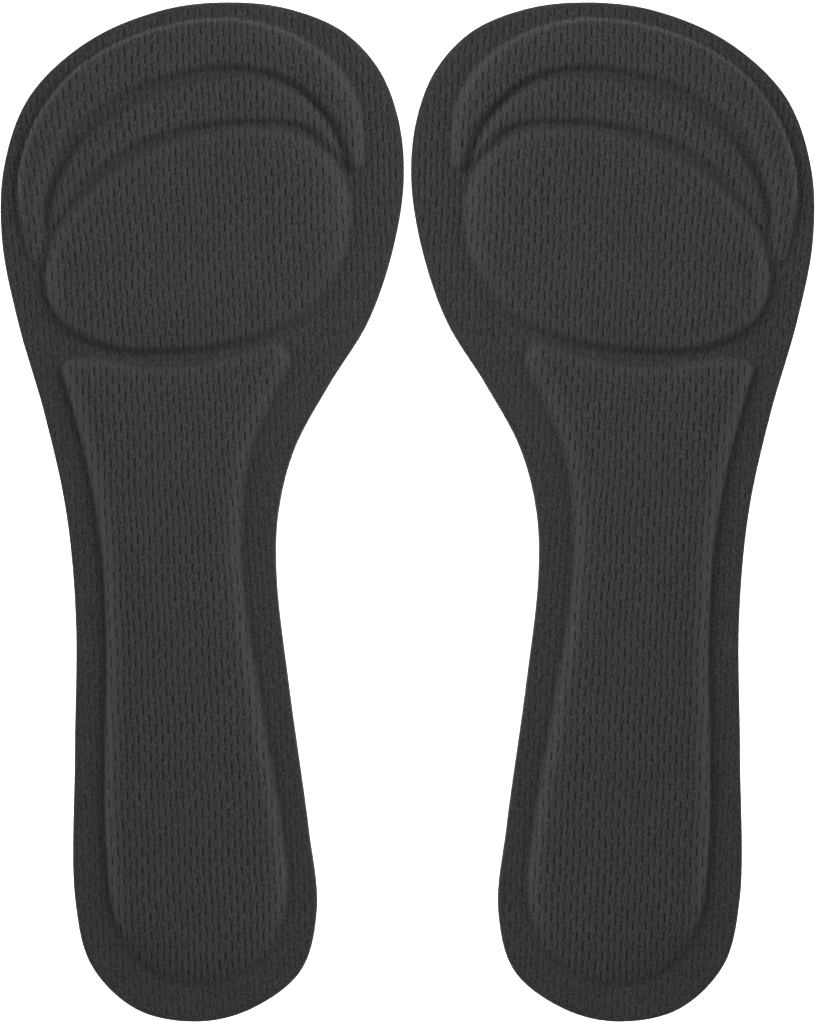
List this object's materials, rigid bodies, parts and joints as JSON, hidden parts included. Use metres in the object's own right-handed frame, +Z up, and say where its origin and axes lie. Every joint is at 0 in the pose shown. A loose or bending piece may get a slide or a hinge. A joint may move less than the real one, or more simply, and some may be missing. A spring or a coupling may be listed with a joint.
{
  "type": "cushioned insole",
  "caption": "Mirrored pair of thin full-length shoe insoles: mesh fabric cover formed over raised foam toe, ball, arch and heel pads, on a foam base with a peel-off adhesive back.",
  "frame": {"origin": "centre of the bounding box in plan, on the floor plane that the release liners rest on", "axes": "+Y from heel to toes, +X from the left foot's insole to the right foot's, +Z up from the liners to the mesh cover"},
  "size_m": [0.1678, 0.21, 0.0064],
  "materials": {
    "mesh_knit": "matte",
    "soft_foam": "matte",
    "base_foam": "matte",
    "backing_cloth": "matte",
    "adhesive": "satin",
    "release_paper": "satin"
  },
  "bodies": {
    "left_forefoot": {"left_mesh_cover_forefoot": "mesh_knit", "left_toe_pad_outer": "soft_foam", "left_toe_pad_inner": "soft_foam", "left_ball_pad": "soft_foam", "left_foam_base_forefoot": "base_foam", "left_backing_cloth_forefoot": "backing_cloth", "left_adhesive_forefoot": "adhesive"},
    "left_rear": {"left_mesh_cover_rear": "mesh_knit", "left_arch_heel_pad": "soft_foam", "left_foam_base_rear": "base_foam", "left_backing_cloth_rear": "backing_cloth", "left_adhesive_rear": "adhesive"},
    "left_front_liner": {"left_release_liner_forefoot": "release_paper"},
    "left_rear_liner": {"left_release_liner_rear": "release_paper"},
    "right_forefoot": {"right_mesh_cover_forefoot": "mesh_knit", "right_toe_pad_outer": "soft_foam", "right_toe_pad_inner": "soft_foam", "right_ball_pad": "soft_foam", "right_foam_base_forefoot": "base_foam", "right_backing_cloth_forefoot": "backing_cloth", "right_adhesive_forefoot": "adhesive"},
    "right_rear": {"right_mesh_cover_rear": "mesh_knit", "right_arch_heel_pad": "soft_foam", "right_foam_base_rear": "base_foam", "right_backing_cloth_rear": "backing_cloth", "right_adhesive_rear": "adhesive"},
    "right_front_liner": {"right_release_liner_forefoot": "release_paper"},
    "right_rear_liner": {"right_release_liner_rear": "release_paper"}
  },
  "joints": [
    {"name": "left_flex", "type": "hinge", "parent": "left_forefoot", "child": "left_rear", "pos_m": [-0.05075, 0.0325, 0.00363], "axis": [-0.9962, -0.0872, 0], "range_deg": [0, 40], "stiffness_Nm_per_rad": 0.03},
    {"name": "left_front_liner_peel", "type": "slide", "parent": "left_forefoot", "child": "left_front_liner", "axis": [0, 1, 0], "range_m": [0, 0.08]},
    {"name": "left_rear_liner_peel", "type": "slide", "parent": "left_rear", "child": "left_rear_liner", "axis": [0, -1, 0], "range_m": [0, 0.135]},
    {"name": "pair_spread", "type": "slide", "parent": "left_forefoot", "child": "right_forefoot", "axis": [1, 0, 0], "range_m": [0, 0.15]},
    {"name": "right_flex", "type": "hinge", "parent": "right_forefoot", "child": "right_rear", "pos_m": [0.05075, 0.0325, 0.00363], "axis": [-0.9962, 0.0872, 0], "range_deg": [0, 40], "stiffness_Nm_per_rad": 0.03},
    {"name": "right_front_liner_peel", "type": "slide", "parent": "right_forefoot", "child": "right_front_liner", "axis": [0, 1, 0], "range_m": [0, 0.08]},
    {"name": "right_rear_liner_peel", "type": "slide", "parent": "right_rear", "child": "right_rear_liner", "axis": [0, -1, 0], "range_m": [0, 0.135]}
  ]
}
